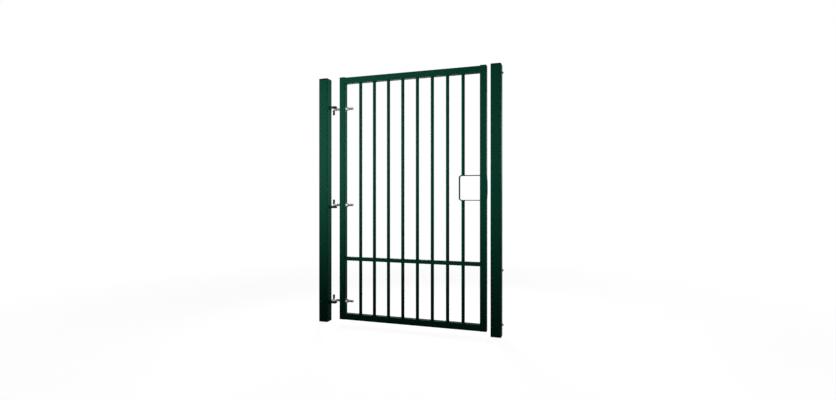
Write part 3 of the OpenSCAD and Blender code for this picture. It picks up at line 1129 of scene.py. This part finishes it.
studio = {
    # place, aim, width and height, power, spread in degrees
    "softboxes": {
        "key_softbox": ((-3.45, -3.35, 1.82), (0.22, 0, 1.87), (1.6, 1.5), 10.5, 35),
        "low_softbox": ((-3.45, -3.15, 1.60), (0.74, 0, 1.35), (1.6, 1.0), 6.2, 26),
        "side_softbox": ((3.30, 1.70, 1.15), (0.20, 0, 1.62), (1.5, 1.0), 9.6, 42),
        "fill_softbox": ((2.60, -1.79, 1.20), (-0.19, 0, 1.61), (1.5, 1.6), 1.5, 35),
        "back_softbox": ((-0.9, 3.8, 1.9), (0.9, 0, 1.9), (2.2, 1.2), 22, 75),
        "back_side_softbox": ((1.9, 3.9, 2.0), (0.9, 0, 1.7), (1.6, 1.2), 4, 75),
    },
    "shadowless": ("low_softbox", "side_softbox"),   # these fill the shadows of the others
    "ambient": 0.04,
    "floorMiddle": (0.73, 0, -0.0005),
    "floorRadius": 60,
    "floorSides": 96,
    "floorColour": (0.8, 0.8, 0.8, 1),
    "floorLift": 0.92,
    "floorUnseen": (0.05, 0.05, 0.05, 1),    # the floor's colour to the rays that light the object
    "floorFade": {"From Min": 2.0, "From Max": 4.5},     # distances over which it turns plain white
}


def addSoftbox(name, place, aim, size, power, spread):
    data = bpy.data.lights.new(name, "AREA")
    data.shape = "RECTANGLE"
    data.size, data.size_y = size
    data.energy = power
    data.spread = math.radians(spread)
    data.use_shadow = name not in studio["shadowless"]
    lamp = bpy.data.objects.new(name, data)
    lamp.location = place
    lamp.rotation_euler = (Vector(aim) - Vector(place)).to_track_quat("-Z", "Y").to_euler()
    bpy.context.scene.collection.objects.link(lamp)


def seenRays(tree, x, y):
    # 1 for rays from the camera, mirrors and glass, 0 for the rays that light the object
    path = addNode(tree, "ShaderNodeLightPath", x, y)
    seen = mathNode(tree, "ADD", x + 200, y, path.outputs["Is Camera Ray"], path.outputs["Is Glossy Ray"])
    return mathNode(tree, "ADD", x + 400, y, seen, path.outputs["Is Transmission Ray"], clamp=True)


def joinShaders(tree, kind, x, y, first, second, share=None):
    # adds two shaders, or mixes them where a share of the second is given
    node = addNode(tree, kind, x, y)
    inputs = (first, second) if share is None else (share, first, second)
    for index, output in enumerate(inputs):
        tree.links.new(output, node.inputs[index])
    return node.outputs[0]


def makeWorld():
    world = bpy.data.worlds.new("studio")
    bpy.context.scene.world = world
    tree = emptyTree(world)
    dim = addNode(tree, "ShaderNodeBackground", -200, 0, values={
        "Color": (1, 1, 1, 1), "Strength": studio["ambient"]})
    white = addNode(tree, "ShaderNodeBackground", -200, -200, values={"Color": (1, 1, 1, 1), "Strength": 1.0})
    output = addNode(tree, "ShaderNodeOutputWorld", 300, 0)
    mix = joinShaders(
        tree, "ShaderNodeMixShader", 100, 0, dim.outputs[0], white.outputs[0], seenRays(tree, -800, 200))
    tree.links.new(mix, output.inputs["Surface"])


def makeFloor():
    bm = bmesh.new()
    bmesh.ops.create_circle(bm, cap_ends=True, segments=studio["floorSides"], radius=studio["floorRadius"])
    mesh = bpy.data.meshes.new("floor")
    bm.to_mesh(mesh)
    bm.free()
    floor = bpy.data.objects.new("floor", mesh)
    floor.location = studio["floorMiddle"]
    bpy.context.scene.collection.objects.link(floor)
    material = bpy.data.materials.new("floor_white")
    tree = emptyTree(material)
    places = addNode(tree, "ShaderNodeTexCoord", -900, 0)
    length = addNode(tree, "ShaderNodeVectorMath", -700, 0, {"operation": "LENGTH"})
    tree.links.new(places.outputs["Object"], length.inputs[0])
    far = addNode(tree, "ShaderNodeMapRange", -500, 0, values=studio["floorFade"])
    tree.links.new(length.outputs["Value"], far.inputs["Value"])
    matt = addNode(tree, "ShaderNodeBsdfDiffuse", -300, 0, values={"Color": studio["floorColour"]})
    lift = addNode(tree, "ShaderNodeEmission", -300, -150, values={"Strength": studio["floorLift"]})
    white = addNode(tree, "ShaderNodeEmission", -300, -300, values={"Strength": 1.0})
    dark = addNode(tree, "ShaderNodeBsdfDiffuse", -300, 150, values={"Color": studio["floorUnseen"]})
    lit = joinShaders(tree, "ShaderNodeAddShader", -100, -50, matt.outputs[0], lift.outputs[0])
    fade = joinShaders(
        tree, "ShaderNodeMixShader", 100, -100, lit, white.outputs[0], far.outputs["Result"])
    mix = joinShaders(
        tree, "ShaderNodeMixShader", 300, 0, dark.outputs[0], fade, seenRays(tree, -900, 300))
    output = addNode(tree, "ShaderNodeOutputMaterial", 500, 0)
    tree.links.new(mix, output.inputs["Surface"])
    mesh.materials.append(material)


def makeStudio():
    bpy.context.scene.view_settings.view_transform = "Standard"
    for name, (place, aim, size, power, spread) in studio["softboxes"].items():
        addSoftbox(name, place, aim, size, power, spread)
    makeWorld()
    makeFloor()


makeStudio()
print("stage set")
